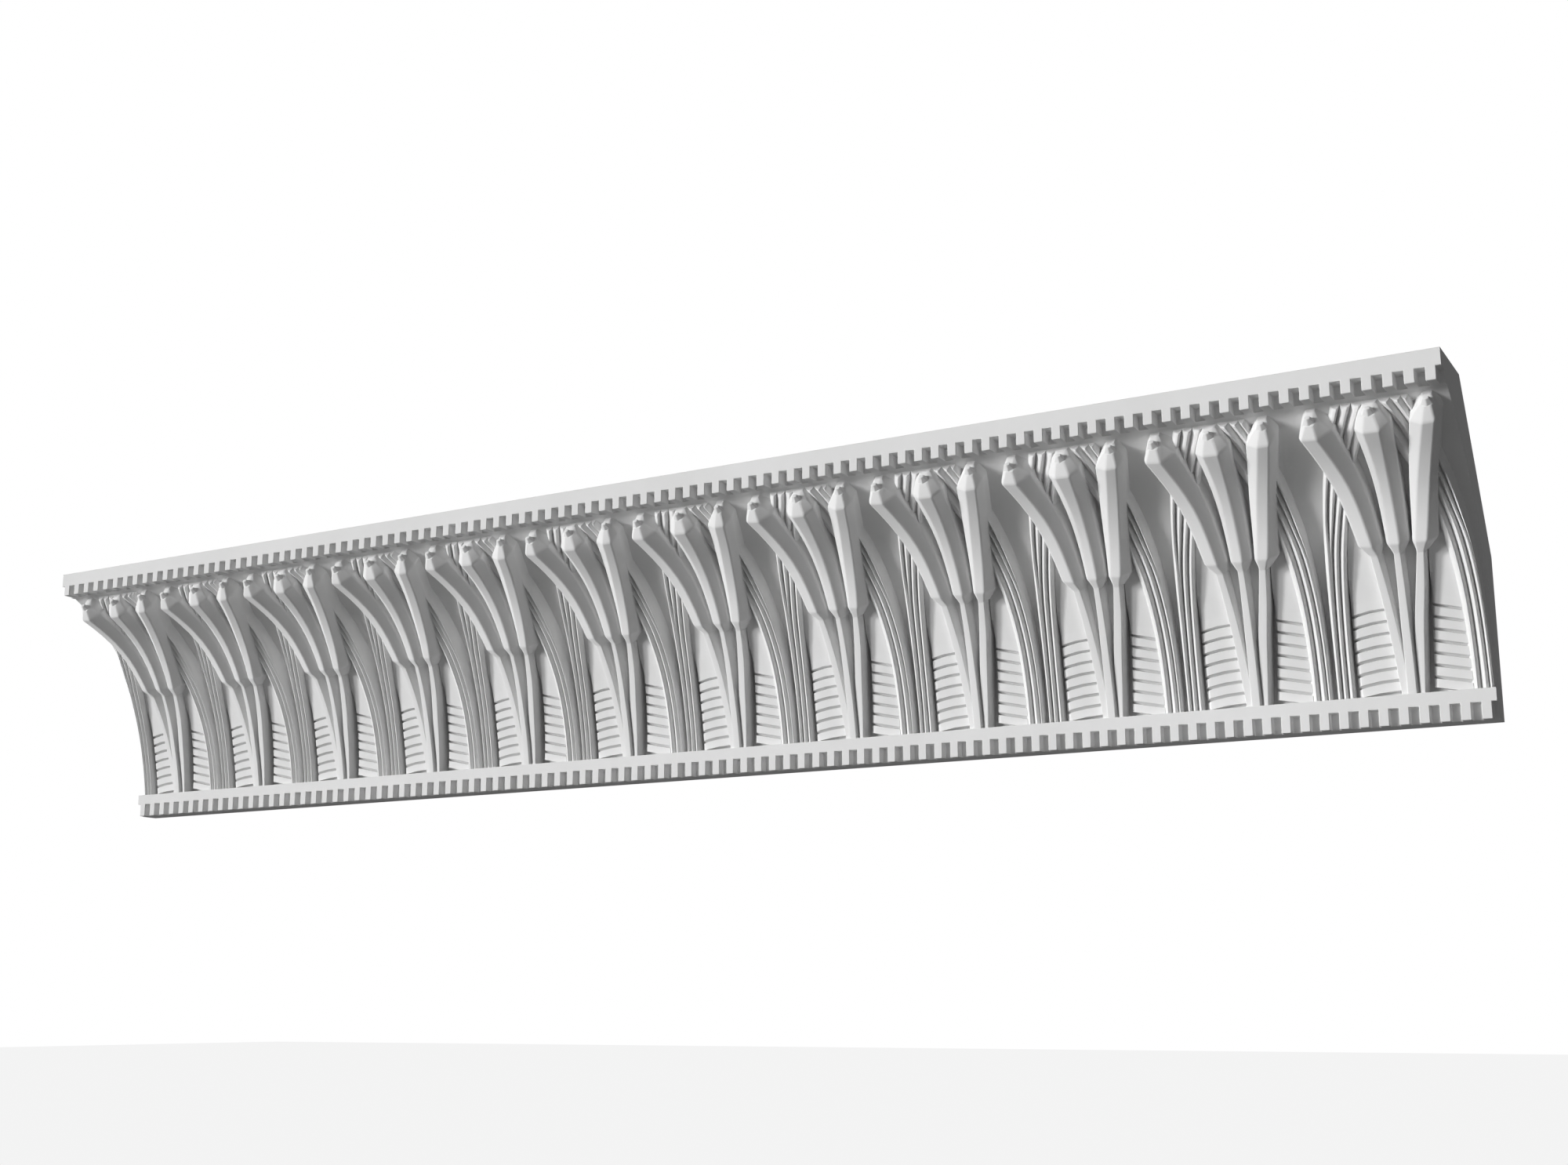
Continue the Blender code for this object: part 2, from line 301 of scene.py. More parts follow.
# %% [markdown]
# Each leaf bundle is four ribs that climb together and sweep sideways behind the heads. The bundle's two
# edges are power curves: almost upright at the foot, and leaning more and more towards the top. A rib
# has a soft asymmetric crest and keeps a share of the bundle's width, and one rib forks half way up, so
# it is given as a pair of shares at a few heights.

# %% Leaf ribs
LEAF_RISE = [
    (0.0, 0.56), (2.0, 0.75), (4.0, 0.87), (8.0, 1.0),
    (12.0, 0.92), (14.0, 0.78), (15.5, 0.54), (16.4, 0.40),
]
GROOVE = 0.33
LEAF_ROWS = 26
RIB_FULL_WIDTH = 0.22
RIB_CREST = 0.68
RIB_ROUND = 2.0
RIB_POINTS = (0.0, 0.12, 0.28, 0.48, 0.68, 0.82, 0.93, 1.0)
LEAF_FOOT = -0.35
LEAF_END = 16.45
END_SLOPE = 0.08
END_FALL = 0.08
FAN_ROW = 13.0
FAN_GROOVE = 0.30
SWEEP_ROWS = 16.0
LEFT_BUNDLE_EDGES = ((0.12, 2.11, 2.755), (1.04, 3.26, 2.68))
RIGHT_BUNDLE_EDGES = ((6.80, -2.88, 3.0), (7.86, -1.60, 3.1))

def swept(edge, row):
    """Column of a bundle's edge. edge: its column at the foot, its shift sideways and the curve's power."""
    foot, shift, power = edge
    lift = max(row, 0.0) / SWEEP_ROWS
    return foot + shift * lift ** power

def left_bundle(row):
    """Left and right edge of the left bundle, in columns."""
    return [swept(edge, row) for edge in LEFT_BUNDLE_EDGES]

def right_bundle(row):
    """Left and right edge of the right bundle, in columns."""
    return [swept(edge, row) for edge in RIGHT_BUNDLE_EDGES]

def leaf_rise(row):
    """Height of a leaf's crest: it sinks at the foot and slopes off at its flat end."""
    fall = max(0.0, row - (LEAF_END - END_SLOPE)) / END_SLOPE
    return through(LEAF_RISE, row) - END_FALL * fall

def leaf(name, bundle, ribs):
    """All ribs of a bundle in one grid. A rib's start and end are shares of the width at a few rows."""
    def section(row):
        left, right = bundle(row)
        depth = through([(FAN_ROW, GROOVE), (LEAF_END, FAN_GROOVE)], row)
        points = []
        for starts, ends in ribs:
            start = left + (right - left) * through(starts, row)
            end = max(start, left + (right - left) * through(ends, row))
            for share in RIB_POINTS:
                side = (share - RIB_CREST) / (RIB_CREST if share < RIB_CREST else 1.0 - RIB_CREST)
                drop = depth * min(1.0, (end - start) / RIB_FULL_WIDTH) * abs(side) ** RIB_ROUND
                points.append((start + (end - start) * share, row, leaf_rise(row) - drop))
        return points

    return carve(name, steps(LEAF_FOOT, LEAF_END - END_SLOPE, LEAF_ROWS) + [LEAF_END], section)

lean = left_bundle(SWEEP_ROWS)[0] - left_bundle(0.0)[0]
print("the left bundle leans by", round(lean * PITCH * 1000), "mm")

# %% Carve the leaves
LEFT_RIBS = [
    ([(0, 0.0), (17, 0.0)], [(0, 0.27), (8, 0.30), (10, 0.20), (17, 0.22)]),
    ([(0, 0.28), (8, 0.31), (10, 0.22), (17, 0.22)], [(0, 0.28), (7.8, 0.31), (10, 0.46), (17, 0.47)]),
    ([(0, 0.29), (8, 0.39), (11, 0.48), (17, 0.47)], [(0, 0.62), (8, 0.68), (11, 0.74), (17, 0.73)]),
    ([(0, 0.64), (8, 0.71), (11, 0.76), (17, 0.73)], [(0, 1.0), (17, 1.0)]),
]
RIGHT_RIBS = [
    ([(0, 0.0), (17, 0.0)], [(0, 0.40), (8, 0.40), (11, 0.36), (17, 0.43)]),
    ([(0, 0.42), (8, 0.42), (11, 0.38), (17, 0.43)], [(0, 0.78), (8, 0.71), (11, 0.62), (17, 0.66)]),
    ([(0, 0.80), (8, 0.73), (11, 0.65), (17, 0.67)], [(0, 0.97), (7.8, 0.97), (10, 0.82), (17, 0.87)]),
    ([(0, 0.98), (7.8, 0.98), (10, 0.84), (17, 0.88)], [(0, 1.0), (17, 1.0)]),
]
carving = [leaf("leaf_left", left_bundle, LEFT_RIBS), leaf("leaf_right", right_bundle, RIGHT_RIBS)]
print(len(carving), "leaf parts")

# %% [markdown]
# Between each leaf and the stems the ground is raised. Its lower part is a stack of slats parted by
# narrow V grooves, and above it is smooth. The grooves on the left climb to the right in a curve, and
# those on the right fall. One grid carries a whole field: rows at the lips and at the bottoms of the
# grooves, and six points across, of which the first four round the slats' left ends.

# %% Slatted fields
SLAT_COUNT = 7
SLAT_PITCH = 0.63
LIP_BELOW = 0.045
LIP_ABOVE = 0.135
GROOVE_DEPTH = 0.27
FIELD_TOP = 9.6
FIELD_RISE = [(0.0, 0.42), (1.5, 0.52), (3.0, 0.59), (6.0, 0.60), (9.6, 0.54)]
SHOULDER = (0.0, 0.05, 0.10, 0.18, 0.5, 1.0)
SHOULDER_DROP = (0.30, 0.16, 0.04, 0.0, 0.0, 0.0)
CLIMB_FADE_ROWS = 4.0
PANEL_EDGE = 0.05
PANEL_ROWS = (6.5, 7.5, 8.5)
SAME_ROW = 0.001

def field(name, edges, first_groove, climb, bend):
    """Slats and the smooth panel above them. climb: rows that a groove rises from left to right."""
    top = first_groove + SLAT_COUNT * SLAT_PITCH

    def level(row):
        for index in range(SLAT_COUNT):
            if abs(row - (first_groove + index * SLAT_PITCH)) < SAME_ROW:
                return -GROOVE_DEPTH
        return 0.0

    def section(row):
        left, right = edges(row)
        points = []
        for share, drop in zip(SHOULDER, SHOULDER_DROP):
            fade = max(0.0, min(1.0, (FIELD_TOP - row) / CLIMB_FADE_ROWS))
            slope = climb * (1.0 - (1.0 - share) ** bend) * fade
            slat_drop = drop if row < top + 2 * PANEL_EDGE else 0.0
            rise = through(FIELD_RISE, row) + level(row) - slat_drop
            points.append((left + (right - left) * share, row + slope, rise))
        return points

    rows = [first_groove - SLAT_PITCH + LIP_ABOVE]
    for index in range(SLAT_COUNT):
        groove = first_groove + index * SLAT_PITCH
        rows += [groove - LIP_BELOW, groove, groove + LIP_ABOVE]
    rows += [top - PANEL_EDGE, top + PANEL_EDGE, *PANEL_ROWS, FIELD_TOP]
    return carve(name, rows, section)

print(SLAT_COUNT, "slats of", round(SLAT_PITCH * PITCH * 1000, 1), "mm")

# %% [markdown]
# A field's far edges are tucked under the leaf or the stem, so that the Boolean meets them cleanly. Only
# the left field stands a little clear of its leaf, most at the foot, which leaves a dark line there.

# %% Carve the fields
LEFT_GAP = 0.02
LEFT_FOOT_GAP = 0.12
FOOT_GAP_ROWS = 8.0
RIGHT_TUCK = 0.08
LEFT_STEM_LINE = (3.55, -0.075)
RIGHT_STEM_LINE = (4.88, 0.085)

def left_field(row):
    """From beside the left bundle to inside the left stem."""
    foot_gap = LEFT_FOOT_GAP * max(0.0, 1.0 - row / FOOT_GAP_ROWS)
    column, lean = LEFT_STEM_LINE
    return left_bundle(row)[1] + LEFT_GAP + foot_gap, column + lean * row

def right_field(row):
    """From inside the right stem to inside the right bundle."""
    column, lean = RIGHT_STEM_LINE
    return column + lean * row, right_bundle(row)[0] + RIGHT_TUCK

carving.append(field("left_field", left_field, 0.62, 0.30, 2.0))
carving.append(field("right_field", right_field, 0.95, -0.42, 1.0))
print("fields carved")

# %% [markdown]
# The stems are three straps that part from one foot. Each has a flat front, with a steep left side and
# a sloping right side. Between them a web of ground falls away towards the heads.

# %% Stems
STEM_FOOT = -0.35
STEM_TOP = 8.3
STEM_ROWS = 14
SIDE_RUN = 0.10
SIDE_FALL = 0.42
FRONT_TILT = 0.03
STEM_SOFTNESS = 0.00055
STEM_SHARP = math.radians(25.0)
WEB_TOP = 9.0
WEB_RISE = [(0.0, 0.62), (3.0, 0.72), (4.4, 0.66), (5.5, 0.50), (7.0, 0.30), (8.0, 0.12), (9.0, -0.05)]

def stem(name, left_stops, right_stops, rise_stops):
    """A strap between two smooth edges."""
    def section(row):
        left, right = through(left_stops, row), through(right_stops, row)
        rise = through(rise_stops, row)
        return [
            (left - SIDE_RUN / 2, row, rise - SIDE_FALL),
            (left, row, rise),
            (right, row, rise + FRONT_TILT),
            (right + SIDE_RUN, row, rise - SIDE_FALL),
        ]

    piece = carve(name, steps(STEM_FOOT, STEM_TOP, STEM_ROWS), section)
    soften(piece, STEM_SOFTNESS, 2, STEM_SHARP)
    return piece

def web(name, left_stops, right_stops):
    """The ground between two stems, which sinks from the foot to the heads."""
    def section(row):
        rise = through(WEB_RISE, row)
        return [(through(left_stops, row), row, rise), (through(right_stops, row), row, rise)]

    return carve(name, steps(STEM_FOOT, WEB_TOP, STEM_ROWS), section)

print("the stems end", round(STEM_TOP * PITCH * 1000), "mm up the cove")

# %% Carve the stems
left_stem = ([(0, 3.44), (4, 3.12), (8, 2.76)], [(0, 3.84), (4, 3.55), (8, 3.12)])
middle_stem = ([(0, 3.75), (4, 3.80), (8, 3.95)], [(0, 4.20), (4, 4.22), (8, 4.26)])
right_stem = (
    [(0, 4.36), (3, 4.38), (5, 4.61), (8, 5.09)],
    [(0, 4.58), (2, 4.74), (4, 4.93), (6, 5.20), (8, 5.43)],
)
carving += [
    stem("stem_left", *left_stem, [(0, 0.68), (2, 0.93), (4, 1.06), (8, 1.12)]),
    stem("stem_middle", *middle_stem, [(0, 0.86), (2, 1.08), (4, 1.19), (8, 1.14)]),
    stem("stem_right", *right_stem, [(0, 0.72), (2, 0.92), (4, 1.04), (8, 1.10)]),
    web("web_left", left_stem[1], middle_stem[0]),
    web("web_right", middle_stem[1], right_stem[0]),
]
print("stems carved")

# %% [markdown]
# The heads are the boldest part. Each is half of a six-sided bar that widens upwards, with a short
# collar below. Above, a tapered cap ends in a slope that carries a small six-sided boss. A head is given
# by its four long edges, each through a foot, a waist and a shoulder point, so the three heads can lean
# and twist differently.

# %% The heads' heights
COLLAR_ROW = 7.75
HEAD_FOOT = 8.45
HEAD_WAIST = 12.0
HEAD_TIP = 15.65
CAP_ROW = 16.25
END_ROW = 16.45
print("a head is", round((HEAD_TIP - HEAD_FOOT) * PITCH * 1000, 1), "mm long between its two rings")

# %% [markdown]
# A Bevel would be clamped by the narrow facets, so the long edges are rounded in the section itself. Each
# corner becomes four points on a parabola, and each edge is worn by its own measure.

# %% Round the corners of a section
RIDGE_SOFTNESS = (0.07, 0.08, 0.11, 0.12)
MOST_OF_SIDE = 0.48
CORNER_STEPS = (0.0, 0.33, 0.67, 1.0)

def blend(points, others, share):
    """Points between two sections that have as many points each."""
    pairs = zip(points, others)
    return [tuple(p + (q - p) * share for p, q in zip(point, other)) for point, other in pairs]

def rounded(points, wall):
    """Round the four long edges of a section. wall: how far its steep sides run down."""
    line = [(points[0][0], points[0][1] - wall)] + points + [(points[-1][0], points[-1][1] - wall)]
    made = []
    for before, corner, after, softness in zip(line, line[1:], line[2:], RIDGE_SOFTNESS):
        ends = []
        for other in (before, after):
            length = math.dist(corner, other)
            share = min(softness / length, MOST_OF_SIDE)
            ends.append(blend([corner], [other], share)[0])
        for step in CORNER_STEPS:
            first = blend([ends[0]], [corner], step)[0]
            second = blend([corner], [ends[1]], step)[0]
            made.append(blend([first], [second], step)[0])
    return made

print(len(RIDGE_SOFTNESS) * len(CORNER_STEPS), "points across a head")

# %% [markdown]
# A head's section follows its four edges between the rings. Below, it narrows into the collar, and above,
# into the cap and then the sloping end. At a ring it is drawn half way to the mean of its neighbours,
# which takes the sharpness off the ring too.

# %% A head from its four long edges
HEAD_STEPS = 8
RING_SOFTNESS = 0.11
SIDE_WALL = 0.5
END_WIDTH = 0.55
END_RISE = 0.40
END_SOFTNESS = 0.0006
END_SHARP = math.radians(36.0)

def head(name, collar, columns, rises, cap_columns, cap_rises):
    """Four edges from left to right; columns and rises hold foot, waist and tip values of each edge."""
    places = (HEAD_FOOT, HEAD_WAIST, HEAD_TIP)
    edges = [(list(zip(places, column)), list(zip(places, rise))) for column, rise in zip(columns, rises)]
    cap = list(zip(cap_columns, cap_rises))
    middle_column = sum(cap_columns) / len(cap_columns)
    end_face = [
        (middle_column + (column - middle_column) * END_WIDTH, rise * END_RISE) for column, rise in cap
    ]

    def sharp(row):
        """The section before its rings are softened."""
        body = [(through(column, row), through(rise, row)) for column, rise in edges]
        if row < HEAD_FOOT:
            return blend(body, list(collar), (HEAD_FOOT - row) / (HEAD_FOOT - COLLAR_ROW))
        if row > CAP_ROW:
            return blend(cap, end_face, (row - CAP_ROW) / (END_ROW - CAP_ROW))
        if row > HEAD_TIP:
            return blend(body, cap, (row - HEAD_TIP) / (CAP_ROW - HEAD_TIP))
        return body

    def section(row):
        body = sharp(row)
        if row in (HEAD_FOOT, HEAD_TIP):
            around = blend(sharp(row - RING_SOFTNESS), sharp(row + RING_SOFTNESS), 0.5)
            body = blend(body, around, 0.5)
        return [(column, row, rise) for column, rise in rounded(body, SIDE_WALL)]

    middle = steps(HEAD_FOOT + RING_SOFTNESS, HEAD_TIP - RING_SOFTNESS, HEAD_STEPS)
    rows = [COLLAR_ROW, HEAD_FOOT - RING_SOFTNESS, HEAD_FOOT] + middle
    rows += [HEAD_TIP, HEAD_TIP + RING_SOFTNESS, CAP_ROW, END_ROW]
    piece = carve(name, rows, section)
    soften(piece, END_SOFTNESS, 2, END_SHARP)
    return piece

print("a head's end is drawn in to", END_WIDTH, "of the cap's width")

# %% [markdown]
# The boss is small, so a cone primitive with six sides and a cut tip is enough. It is squashed a little,
# put into the sloping end and softened.

# %% A boss
BOSS_SIDES = 6
BOSS_FOOT_RADIUS = 0.36
BOSS_TIP_RADIUS = 0.15
BOSS_LENGTH = 0.45
BOSS_HEIGHT = 0.38
BOSS_SQUASH = (1.15, 0.85, 1.0)
BOSS_SHARP = math.radians(30.0)

def boss(name, column, rise):
    """A low six-sided knob that narrows upwards and stands on the end of a head."""
    place = (column * PITCH, -rise * PITCH, (CAP_ROW + BOSS_HEIGHT - BOSS_LENGTH / 2) * PITCH)
    bpy.ops.object.select_all(action="DESELECT")
    bpy.ops.mesh.primitive_cone_add(
        vertices=BOSS_SIDES, radius1=BOSS_FOOT_RADIUS * PITCH, radius2=BOSS_TIP_RADIUS * PITCH,
        depth=BOSS_LENGTH * PITCH, location=place,
    )
    piece = bpy.context.object
    piece.name = name
    piece.scale = BOSS_SQUASH
    settle(piece)
    soften(piece, END_SOFTNESS, 2, BOSS_SHARP)
    return piece

print("a boss is", round(2 * BOSS_FOOT_RADIUS * PITCH * 1000, 1), "mm wide at its foot")

# %% [markdown]
# The left head leans far to the left and shows a wide left-hand facet. The middle one stands upright and
# is nearly even, and the right one leans and twists to the right.

# %% Carve the heads
carving += [
    head(
        "head_left",
        collar=((2.68, 0.62), (2.76, 1.02), (3.14, 1.12), (3.24, 0.70)),
        columns=((2.29, 1.70, 0.76), (2.40, 1.78, 0.88), (3.02, 2.53, 1.68), (3.47, 3.13, 2.44)),
        rises=((1.18, 1.12, 1.24), (1.28, 1.22, 1.42), (1.47, 1.41, 1.54), (0.98, 0.95, 0.92)),
        cap_columns=(1.02, 1.18, 1.60, 1.86),
        cap_rises=(0.86, 1.06, 1.12, 0.72),
    ),
    head(
        "head_middle",
        collar=((3.86, 0.70), (3.94, 1.06), (4.27, 1.12), (4.38, 0.70)),
        columns=((3.70, 3.68, 3.46), (3.82, 3.96, 3.90), (4.38, 4.47, 4.72), (4.80, 4.97, 5.22)),
        rises=((1.22, 1.16, 1.16), (1.33, 1.29, 1.54), (1.50, 1.35, 1.58), (1.10, 0.91, 1.00)),
        cap_columns=(3.76, 4.06, 4.52, 4.84),
        cap_rises=(0.82, 1.00, 1.02, 0.70),
    ),
    head(
        "head_right",
        collar=((4.98, 0.72), (5.07, 1.08), (5.43, 1.12), (5.56, 0.66)),
        columns=((4.96, 5.39, 6.08), (5.12, 5.81, 6.70), (5.72, 6.45, 7.32), (6.20, 6.78, 7.64)),
        rises=((1.22, 1.12, 1.10), (1.36, 1.42, 1.46), (1.51, 1.45, 1.44), (1.06, 0.92, 0.72)),
        cap_columns=(6.62, 6.88, 7.22, 7.42),
        cap_rises=(0.76, 0.92, 0.92, 0.60),
    ),
    boss("boss_left", 1.36, 0.80),
    boss("boss_middle", 4.26, 0.74),
    boss("boss_right", 7.02, 0.64),
]
print(len(carving), "carved parts,", sum(len(part.data.polygons) for part in carving), "faces")

# %% [markdown]
# Now the flat carving is bent onto the cove. Simple Deform with Bend keeps distances along the board and
# turns heights into heights square to the arc, which is just what happens to a flexible model pressed
# into a hollow. Its angle is given for the whole height of the piece, so it is worked out for each one.

# %% Bend the carving onto the cove
def bend(piece):
    """Wrap a flat part round the cove's centre and bring it to the first motif's place."""
    heights = [point.co.z for point in piece.data.vertices]
    fold = piece.modifiers.new("bend", "SIMPLE_DEFORM")
    fold.deform_method = "BEND"
    fold.deform_axis = "X"
    fold.angle = -(max(heights) - min(heights)) / COVE_RADIUS
    finish_modifier(piece, fold)
    piece.location = (low.x, centre.x + COVE_RADIUS, centre.y)
    settle(piece)

for part in carving:
    bend(part)
lowest = [min(point.co[axis] for part in carving for point in part.data.vertices) for axis in range(3)]
print("bent carving, lowest corner", [round(value, 4) for value in lowest])

# %% [markdown]
# One exact Boolean joins the carved parts to each other and to the moulding. The two end faces then come
# off, an Array sets twelve copies end to end and merges their shared points, and the open ends of the
# run are filled again. The result is one closed skin, as the cast is.

# %% Join the carving to the moulding
group = bpy.data.collections.new("carving")
bpy.context.scene.collection.children.link(group)
for part in carving:
    group.objects.link(part)
join = cast.modifiers.new("join", "BOOLEAN")
join.operation = "UNION"
join.solver = "EXACT"
join.operand_type = "COLLECTION"
join.collection = group
finish_modifier(cast, join)
for part in carving:
    bpy.data.objects.remove(part)
bpy.data.collections.remove(group)
print("one motif:", len(cast.data.polygons), "faces")

# %% Repeat the motif
def select_faces_at(piece, places):
    """Select the faces that lie in planes across the run, in edit mode."""
    bpy.ops.mesh.select_all(action="DESELECT")
    bpy.ops.object.mode_set(mode="OBJECT")
    for face in piece.data.polygons:
        corners = [piece.data.vertices[index].co.x for index in face.vertices]
        face.select = any(all(abs(x - place) < WELD for x in corners) for place in places)
    bpy.ops.object.mode_set(mode="EDIT")

settle(cast)
bpy.ops.object.mode_set(mode="EDIT")
bpy.ops.mesh.select_mode(type="FACE")
select_faces_at(cast, (low.x, low.x + MOTIF))
bpy.ops.mesh.delete(type="FACE")
bpy.ops.object.mode_set(mode="OBJECT")
run = cast.modifiers.new("run", "ARRAY")
run.count = MOTIFS
run.use_relative_offset = False
run.use_constant_offset = True
run.constant_offset_displace = (MOTIF, 0.0, 0.0)
run.use_merge_vertices = True
run.merge_threshold = WELD
finish_modifier(cast, run)
print(MOTIFS, "motifs:", round(cast.dimensions.x, 4), "m")

# %% Close the ends
bpy.ops.object.mode_set(mode="EDIT")
bpy.ops.mesh.select_mode(type="EDGE")
bpy.ops.mesh.select_all(action="DESELECT")
bpy.ops.mesh.select_non_manifold()
bpy.ops.mesh.edge_face_add()
bpy.ops.mesh.select_all(action="SELECT")
bpy.ops.mesh.normals_make_consistent(inside=False)
bpy.ops.object.mode_set(mode="OBJECT")
cast.data.calc_loop_triangles()
print("whole run:", len(cast.data.loop_triangles), "triangles")

# %% [markdown]
# Smooth shading rounds the cove, the ribs and the bevels, and leaves every true arris sharp. Weighted
# normals keep the wide flat faces flat, because there the narrow bevels would bend the light.

# %% Shade the cast
SMOOTH_BELOW = math.radians(32.0)
bpy.ops.object.select_all(action="DESELECT")
cast.select_set(True)
bpy.context.view_layer.objects.active = cast
bpy.ops.object.shade_smooth_by_angle(angle=SMOOTH_BELOW)
weighted = cast.modifiers.new("even_normals", "WEIGHTED_NORMAL")
weighted.keep_sharp = True
finish_modifier(cast, weighted)
print("shaded")

# %% [markdown]
# Plaster straight from the mould is white with a breath of grey, quite matt, and very fine in grain. A
# node group holds its surface: broad clouds where it dried unevenly, a soft swell, a fine grain, and the
# few pin holes that air leaves. It gives the clouds, for colour and roughness, and a height for the bump.

# %% The plaster's surface as a node group
GRAIN_SHARE = 0.35
PITS_SHARE = 0.25

def node(tree, kind, **values):
    """Add a node and set the sockets that are named."""
    made = tree.nodes.new(kind)
    for name, value in values.items():
        made.inputs[name.replace("_", " ")].default_value = value
    return made

surface = bpy.data.node_groups.new("cast surface", "ShaderNodeTree")
sockets = (
    ("Coordinates", "INPUT", "NodeSocketVector"),
    ("Cloud", "OUTPUT", "NodeSocketFloat"),
    ("Height", "OUTPUT", "NodeSocketFloat"),
)
for name, way, kind in sockets:
    surface.interface.new_socket(name=name, in_out=way, socket_type=kind)
inside = surface.nodes.new("NodeGroupInput")
outside = surface.nodes.new("NodeGroupOutput")
cloud = node(surface, "ShaderNodeTexNoise", Scale=14.0, Detail=4.0, Roughness=0.55)
grain = node(surface, "ShaderNodeTexNoise", Scale=900.0, Detail=3.0, Roughness=0.6)
swell = node(surface, "ShaderNodeTexNoise", Scale=120.0, Detail=2.0, Roughness=0.5)
holes = node(surface, "ShaderNodeTexVoronoi", Scale=210.0)
pits = surface.nodes.new("ShaderNodeMapRange")
pits.inputs["From Min"].default_value = 0.02
pits.inputs["From Max"].default_value = 0.10
pits.inputs["To Min"].default_value = 0.0
pits.inputs["To Max"].default_value = 1.0
grain_on_swell = surface.nodes.new("ShaderNodeMath")
grain_on_swell.operation = "MULTIPLY_ADD"
grain_on_swell.inputs[1].default_value = GRAIN_SHARE
with_pits = surface.nodes.new("ShaderNodeMath")
with_pits.operation = "MULTIPLY_ADD"
with_pits.inputs[1].default_value = PITS_SHARE
links = surface.links
for texture in (cloud, grain, swell, holes):
    links.new(inside.outputs["Coordinates"], texture.inputs["Vector"])
links.new(holes.outputs["Distance"], pits.inputs["Value"])
links.new(grain.outputs["Fac"], grain_on_swell.inputs[0])
links.new(swell.outputs["Fac"], grain_on_swell.inputs[2])
links.new(pits.outputs["Result"], with_pits.inputs[0])
links.new(grain_on_swell.outputs["Value"], with_pits.inputs[2])
links.new(cloud.outputs["Fac"], outside.inputs["Cloud"])
links.new(with_pits.outputs["Value"], outside.inputs["Height"])
print("surface group has", len(surface.nodes), "nodes")

# %% The plaster material
plaster = bpy.data.materials.new("cast plaster")
plaster.use_nodes = True
tree = plaster.node_tree
shader = tree.nodes["Principled BSDF"]
shader.inputs["Metallic"].default_value = 0.0
shader.inputs["Specular IOR Level"].default_value = 0.28
where = tree.nodes.new("ShaderNodeTexCoord")
grainy = tree.nodes.new("ShaderNodeGroup")
grainy.node_tree = surface
tone = tree.nodes.new("ShaderNodeValToRGB")
tone.color_ramp.elements[0].position = 0.30
tone.color_ramp.elements[0].color = (0.775, 0.775, 0.772, 1.0)
tone.color_ramp.elements[1].position = 0.72
tone.color_ramp.elements[1].color = (0.825, 0.825, 0.825, 1.0)
rough = tree.nodes.new("ShaderNodeMapRange")
rough.inputs["To Min"].default_value = 0.70
rough.inputs["To Max"].default_value = 0.86
bump = tree.nodes.new("ShaderNodeBump")
bump.inputs["Strength"].default_value = 0.25
bump.inputs["Distance"].default_value = 0.00035
tree.links.new(where.outputs["Object"], grainy.inputs["Coordinates"])
tree.links.new(grainy.outputs["Cloud"], tone.inputs["Fac"])
tree.links.new(tone.outputs["Color"], shader.inputs["Base Color"])
tree.links.new(grainy.outputs["Cloud"], rough.inputs["Value"])
tree.links.new(rough.outputs["Result"], shader.inputs["Roughness"])
tree.links.new(grainy.outputs["Height"], bump.inputs["Height"])
tree.links.new(bump.outputs["Normal"], shader.inputs["Normal"])
cast.data.materials.clear()
cast.data.materials.append(plaster)
print("material:", plaster.name)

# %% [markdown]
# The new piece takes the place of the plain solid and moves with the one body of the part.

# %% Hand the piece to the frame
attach(cast, "root")
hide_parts("cornice")

# %% [markdown]
# The stage is a pale floor well below the cornice, under a white sky. The camera sees the floor as one
# even pale tone, and the cast gets only the light that a matt floor throws back. The camera looks up at
# the run from below its right-hand end. Its lens covers 45 degrees, and a small shift of the lens sets
# the frame's middle.

# %% Stage and camera
FLOOR_DROP = 0.9
FLOOR_SIZE = 60.0
bpy.ops.object.select_all(action="DESELECT")
bpy.ops.mesh.primitive_plane_add(size=FLOOR_SIZE, location=(0.0, 0.0, -FLOOR_DROP))
floor = bpy.context.object
floor.name = "floor"
pale = bpy.data.materials.new("pale floor")
pale.use_nodes = True
matt = pale.node_tree.nodes["Principled BSDF"]
matt.inputs["Base Color"].default_value = (0.50, 0.50, 0.50, 1.0)
matt.inputs["Roughness"].default_value = 0.9
glow = pale.node_tree.nodes.new("ShaderNodeEmission")
glow.inputs["Color"].default_value = (0.90, 0.90, 0.90, 1.0)
ray = pale.node_tree.nodes.new("ShaderNodeLightPath")
either = pale.node_tree.nodes.new("ShaderNodeMixShader")
output = pale.node_tree.nodes["Material Output"]
pale.node_tree.links.new(ray.outputs["Is Camera Ray"], either.inputs["Fac"])
pale.node_tree.links.new(matt.outputs["BSDF"], either.inputs[1])
pale.node_tree.links.new(glow.outputs["Emission"], either.inputs[2])
pale.node_tree.links.new(either.outputs["Shader"], output.inputs["Surface"])
floor.data.materials.append(pale)

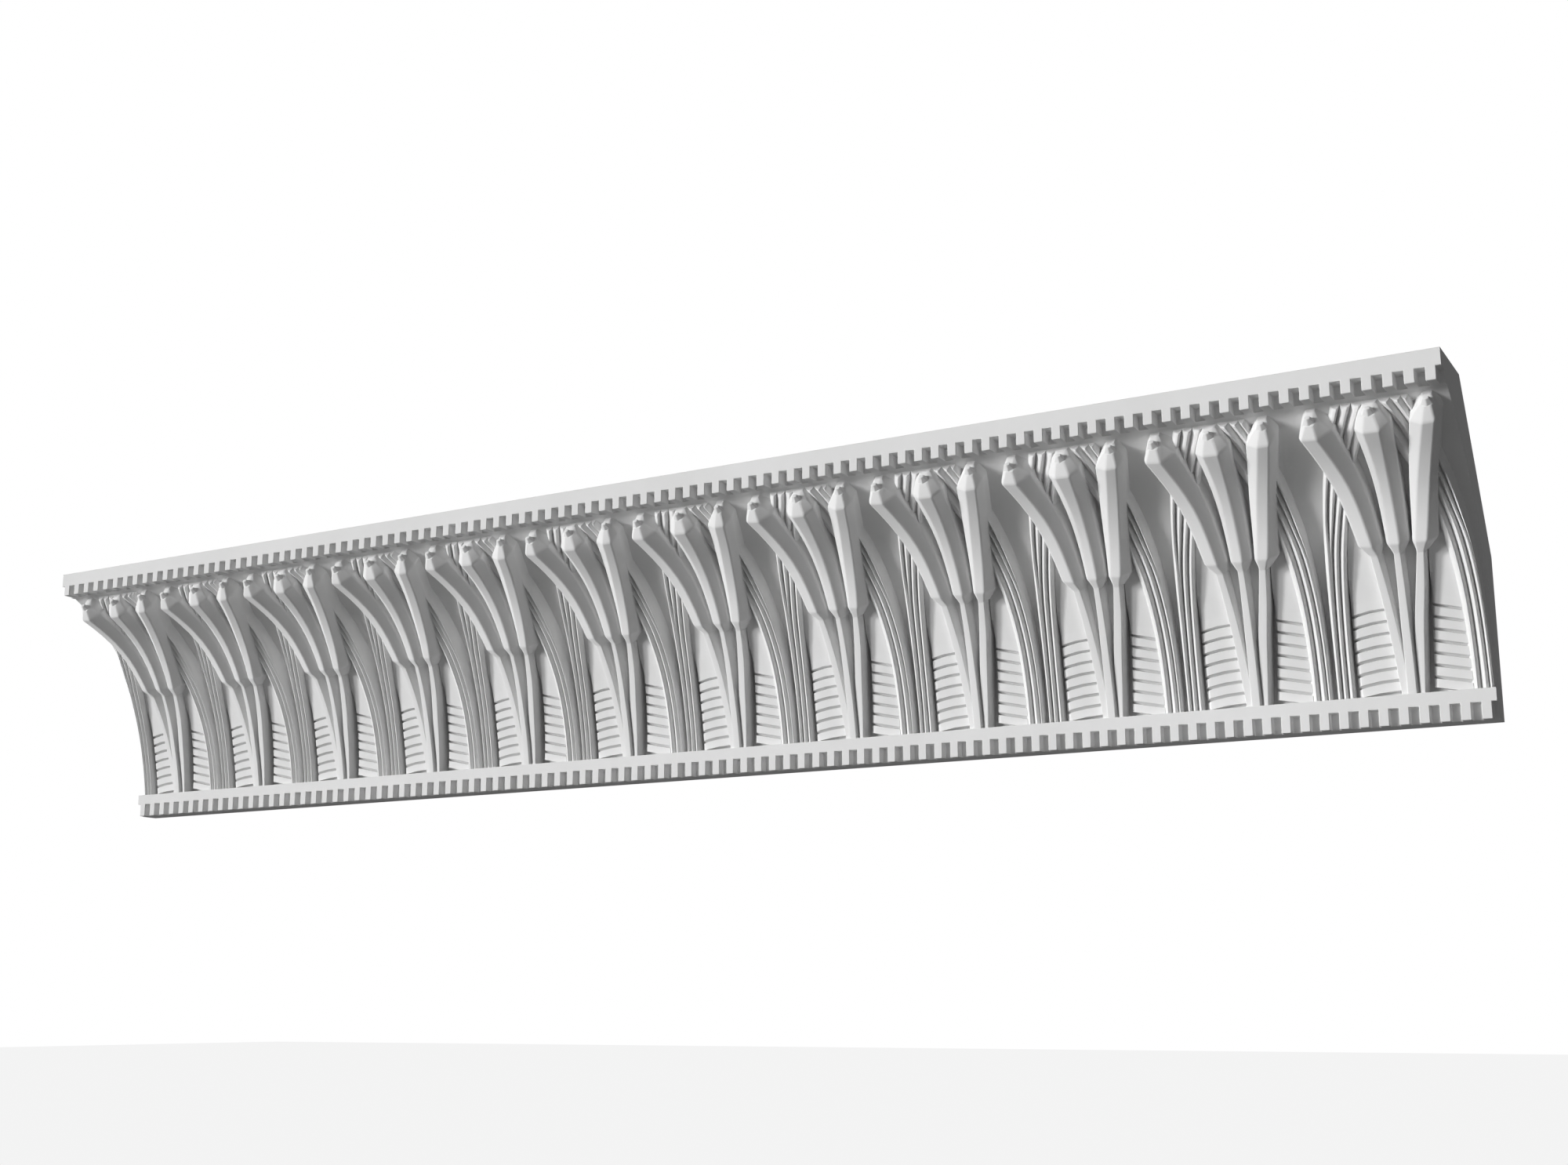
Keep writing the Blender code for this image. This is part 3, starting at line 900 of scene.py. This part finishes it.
WIDTH, HEIGHT = 2000, 1486
HORIZONTAL_VIEW = math.radians(45.0)
CAMERA_PLACE = Vector((0.7634, -1.19405, -0.21943))
CAMERA_RIGHT = Vector((0.866, 0.499, -0.001))
CAMERA_DOWN = Vector((-0.104, 0.178, -0.979))
AXIS_ROW = 778.9
lens = bpy.data.cameras.new("camera")
lens.sensor_width = 36.0
lens.angle = HORIZONTAL_VIEW
lens.shift_y = (AXIS_ROW - HEIGHT / 2) / WIDTH
lens.clip_end = 200.0
camera = bpy.data.objects.new("camera", lens)
bpy.context.scene.collection.objects.link(camera)
right = CAMERA_RIGHT.normalized()
up = -(CAMERA_DOWN - right * CAMERA_DOWN.dot(right)).normalized()
back = right.cross(up)
for column, axis in enumerate((right, up, back)):
    for row in range(3):
        camera.matrix_world[row][column] = axis[row]
camera.matrix_world.translation = CAMERA_PLACE
bpy.context.scene.camera = camera
print("lens", round(lens.lens, 2), "mm, shift", round(lens.shift_y, 4))

# %% [markdown]
# The light is plain: two broad lamps from the front left, almost level, so that every left-hand face is
# bright and every right-hand face falls into shade, and a weak one from the right that keeps the shade
# open. One more stands behind for the plain back. The sky lights the cast a little from all round, and
# shows pure white behind it.

# %% Lights
def sun(name, direction, strength, softness):
    """A distant lamp that shines from a direction."""
    lamp = bpy.data.lights.new(name, "SUN")
    lamp.energy = strength
    lamp.angle = math.radians(softness)
    holder = bpy.data.objects.new(name, lamp)
    bpy.context.scene.collection.objects.link(holder)
    holder.rotation_euler = Vector(direction).to_track_quat("Z", "Y").to_euler()
    return holder

sun("key", (-0.765, -0.620, 0.150), 2.3, 9.0)
sun("second", (-0.629, -0.776, 0.035), 1.25, 12.0)
sun("fill", (0.80, -0.60, 0.10), 0.11, 50.0)
sun("behind", (-0.25, 0.95, 0.03), 0.9, 20.0)
world = bpy.data.worlds.new("white room")
world.use_nodes = True
bpy.context.scene.world = world
sky = world.node_tree
sky_light = sky.nodes["Background"]
sky_light.inputs["Color"].default_value = (1.0, 1.0, 1.0, 1.0)
sky_light.inputs["Strength"].default_value = 0.09
seen = sky.nodes.new("ShaderNodeBackground")
seen.inputs["Color"].default_value = (1.0, 1.0, 1.0, 1.0)
seen.inputs["Strength"].default_value = 1.0
path = sky.nodes.new("ShaderNodeLightPath")
choose = sky.nodes.new("ShaderNodeMixShader")
sky.links.new(path.outputs["Is Camera Ray"], choose.inputs["Fac"])
sky.links.new(sky_light.outputs["Background"], choose.inputs[1])
sky.links.new(seen.outputs["Background"], choose.inputs[2])
sky.links.new(choose.outputs["Shader"], sky.nodes["World Output"].inputs["Surface"])
bpy.context.scene.view_settings.view_transform = "Standard"
print("lights set")
